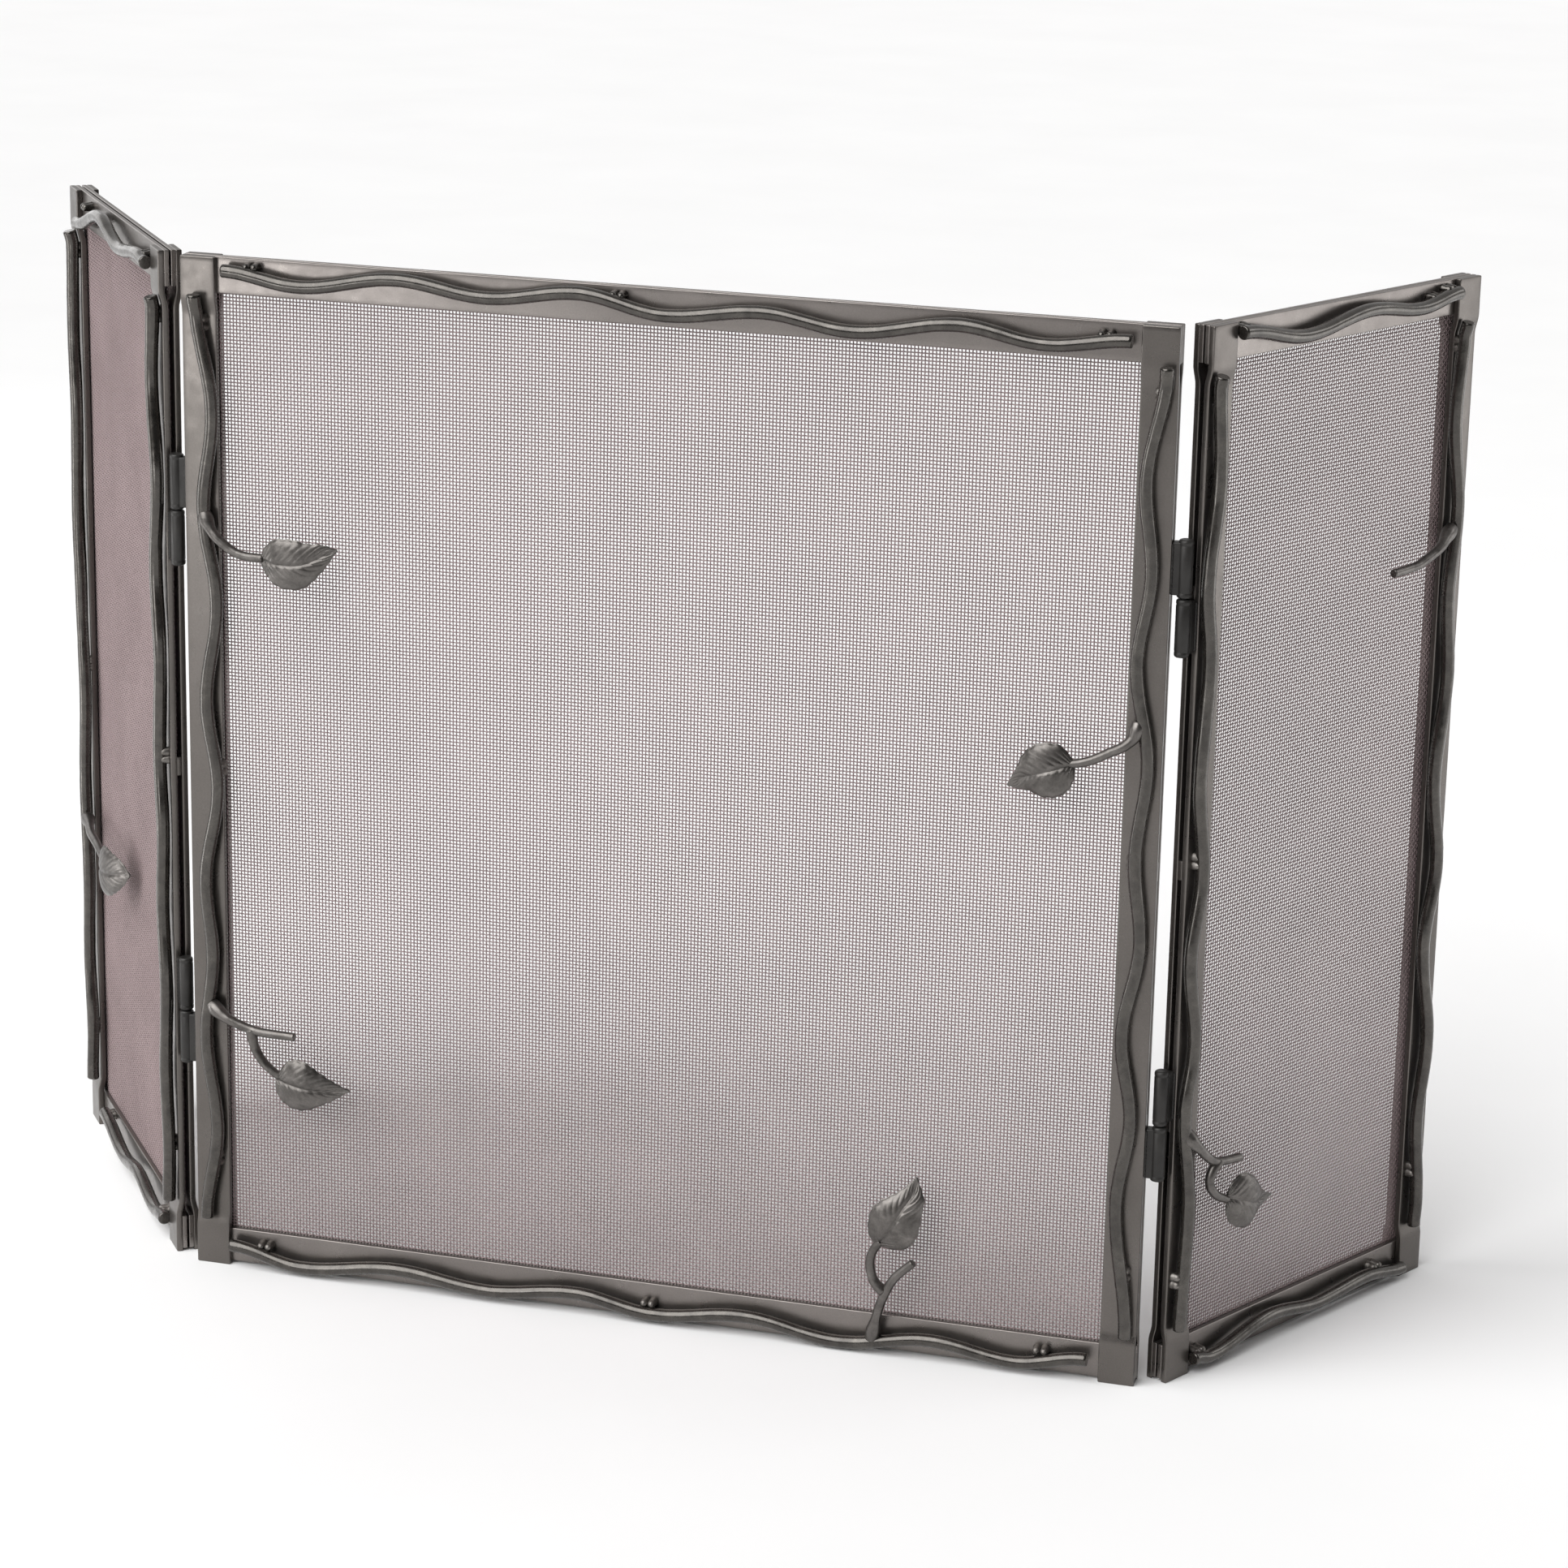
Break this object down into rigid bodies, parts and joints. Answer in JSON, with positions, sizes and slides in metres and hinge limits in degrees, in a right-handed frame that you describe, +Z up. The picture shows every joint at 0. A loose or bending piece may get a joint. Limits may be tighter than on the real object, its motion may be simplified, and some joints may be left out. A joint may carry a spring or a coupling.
{
  "type": "fireplace screen",
  "caption": "Folding three-panel fireplace screen: flat steel frames hold woven wire cloth, trimmed with wavy forged branches, twigs and leaves; side panels swing on barrel hinges.",
  "frame": {"origin": "on the floor, under the middle of the standing screen with its side panels folded back as stored", "axes": "+X to the right of a viewer in front of the screen, -Y out of its front towards the room, +Z up"},
  "size_m": [1.0859, 0.3082, 0.762],
  "materials": {
    "frame": "satin pewter-brown powder coat on flat steel bar",
    "branch": "dark burnished forged steel, hammered, with brighter worn crests",
    "leaf": "dark pewter forged sheet with veins",
    "wire_cloth": "dark plain-weave steel wire cloth",
    "hinge": "black painted steel"
  },
  "bodies": {
    "centre_panel": {"centre_left_stile_front": "frame", "centre_left_stile_back": "frame", "centre_right_stile_front": "frame", "centre_right_stile_back": "frame", "centre_top_rail": "frame", "centre_bottom_rail": "frame", "centre_backing_strips": "frame", "centre_wire_cloth": "wire_cloth", "centre_stile_spacers": "frame", "centre_top_branch": "branch", "centre_bottom_branch": "branch", "centre_left_branch": "branch", "centre_right_branch": "branch", "centre_branch_pegs": "branch", "centre_twigs": "branch", "centre_leaf_stems": "branch", "centre_upper_left_leaf": "leaf", "centre_lower_left_leaf": "leaf", "centre_bottom_leaf": "leaf", "centre_right_leaf": "leaf", "left_hinge_fixed_barrels": "hinge", "left_hinge_pins": "hinge", "right_hinge_fixed_barrels": "hinge", "right_hinge_pins": "hinge"},
    "left_panel": {"left_outer_stile_front": "frame", "left_outer_stile_back": "frame", "left_inner_stile_front": "frame", "left_inner_stile_back": "frame", "left_top_rail": "frame", "left_bottom_rail": "frame", "left_backing_strips": "frame", "left_wire_cloth": "wire_cloth", "left_stile_spacers": "frame", "left_top_branch": "branch", "left_bottom_branch": "branch", "left_outer_branch": "branch", "left_inner_branch": "branch", "left_branch_pegs": "branch", "left_twig": "branch", "left_leaf": "leaf", "left_hinge_moving_barrels": "hinge"},
    "right_panel": {"right_outer_stile_front": "frame", "right_outer_stile_back": "frame", "right_inner_stile_front": "frame", "right_inner_stile_back": "frame", "right_top_rail": "frame", "right_bottom_rail": "frame", "right_backing_strips": "frame", "right_wire_cloth": "wire_cloth", "right_stile_spacers": "frame", "right_top_branch": "branch", "right_bottom_branch": "branch", "right_outer_branch": "branch", "right_inner_branch": "branch", "right_branch_pegs": "branch", "right_twigs": "branch", "right_leaf_stem": "branch", "right_leaf": "leaf", "right_hinge_moving_barrels": "hinge"}
  },
  "joints": [
    {"name": "left_fold", "type": "hinge", "parent": "centre_panel", "child": "left_panel", "pos_m": [-0.34662, -0.13231, 0.381], "axis": [0, 0, -1], "range_deg": [-93.3, 34.7]},
    {"name": "right_fold", "type": "hinge", "parent": "centre_panel", "child": "right_panel", "pos_m": [0.38938, -0.13231, 0.381], "axis": [0, 0, 1], "range_deg": [-103, 25]}
  ]
}
